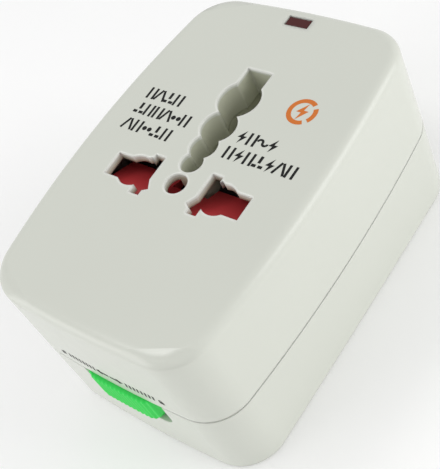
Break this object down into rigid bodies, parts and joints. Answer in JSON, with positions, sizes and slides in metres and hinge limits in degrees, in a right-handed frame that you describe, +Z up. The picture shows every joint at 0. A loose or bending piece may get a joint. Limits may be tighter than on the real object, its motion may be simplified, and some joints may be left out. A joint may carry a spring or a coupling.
{
  "type": "travel adaptor",
  "caption": "Two-part travel adaptor with a universal outlet and shutter in its face, folding pins in its base, folding flat blades and a sliding lock.",
  "frame": {"origin": "centre of the footprint, on the flat base", "axes": "+Z up through the outlet face; +Y towards the lamp window and the earth slot; -Y towards the lock slider; X across both live openings, line at -X"},
  "size_m": [0.0492, 0.0737, 0.0365],
  "materials": {
    "white_shell": "satin, fine texture",
    "inner_plastic": "plain moulded",
    "shutter_red": "moulded",
    "slider_green": "satin",
    "window_red": "clear tinted, dark",
    "brass": "bright",
    "steel": "plated",
    "guide_black": "plain moulded",
    "sleeve_black": "moulded",
    "board_green": "lacquered board",
    "varistor_blue": "dipped coating",
    "resistor_tan": "lacquered",
    "lamp_glass": "clear",
    "lead_blue": "wire insulation",
    "fuse_body": "matt"
  },
  "bodies": {
    "plug_half": {"plug_shell": "white_shell", "plug_deck": "inner_plastic", "deck_screws": "steel", "line_leaf": "brass", "neutral_leaf": "brass", "earth_leaf": "brass", "pin_pivots": "steel", "fuse": "fuse_body", "fuse_clips": "brass", "detent_spring": "steel"},
    "socket_half": {"socket_shell": "white_shell", "lamp_window": "window_red", "contact_block": "guide_black", "line_contact": "brass", "neutral_contact": "brass", "earth_contact": "brass", "rear_cover": "white_shell", "cover_screws": "steel", "surge_board": "board_green", "varistor": "varistor_blue", "resistor": "resistor_tan", "lamp": "lamp_glass", "board_leads": "lead_blue", "shutter_spring": "steel"},
    "shutter": {"shutter": "shutter_red"},
    "blades": {"blade_hub": "inner_plastic", "flat_blades": "brass"},
    "lock": {"lock_slider": "slider_green", "lock_bar": "steel"},
    "line_pin": {"line_pin": "brass", "line_sleeve": "sleeve_black"},
    "neutral_pin": {"neutral_pin": "brass", "neutral_sleeve": "sleeve_black"},
    "earth_pin": {"earth_pin": "brass"}
  },
  "joints": [
    {"name": "head_lift", "type": "slide", "parent": "plug_half", "child": "socket_half", "axis": [0, 0, 1], "range_m": [0, 0.03]},
    {"name": "shutter_slide", "type": "slide", "parent": "socket_half", "child": "shutter", "axis": [0, -1, 0], "range_m": [0, 0.009], "stiffness_N_per_m": 60, "springref_m": -0.004, "deforming": ["shutter_spring"]},
    {"name": "blade_swing", "type": "hinge", "parent": "socket_half", "child": "blades", "pos_m": [0, -0.01392, 0.01547], "axis": [1, 0, 0], "range_deg": [0, 90]},
    {"name": "lock_slide", "type": "slide", "parent": "plug_half", "child": "lock", "axis": [1, 0, 0], "range_m": [0, 0.0016]},
    {"name": "line_pin_fold", "type": "hinge", "parent": "plug_half", "child": "line_pin", "pos_m": [-0.0111, -0.0064, 0.0026], "axis": [-1, 0, 0], "range_deg": [0, 90]},
    {"name": "neutral_pin_fold", "type": "hinge", "parent": "plug_half", "child": "neutral_pin", "pos_m": [0.0111, -0.0064, 0.0026], "axis": [-1, 0, 0], "range_deg": [0, 90]},
    {"name": "earth_pin_fold", "type": "hinge", "parent": "plug_half", "child": "earth_pin", "pos_m": [0, 0.0158, 0.0046], "axis": [1, 0, 0], "range_deg": [0, 90]}
  ],
  "couplings": [
    {"joint": "blade_swing", "follows": "head_lift", "rad_per_m": 52.3}
  ]
}
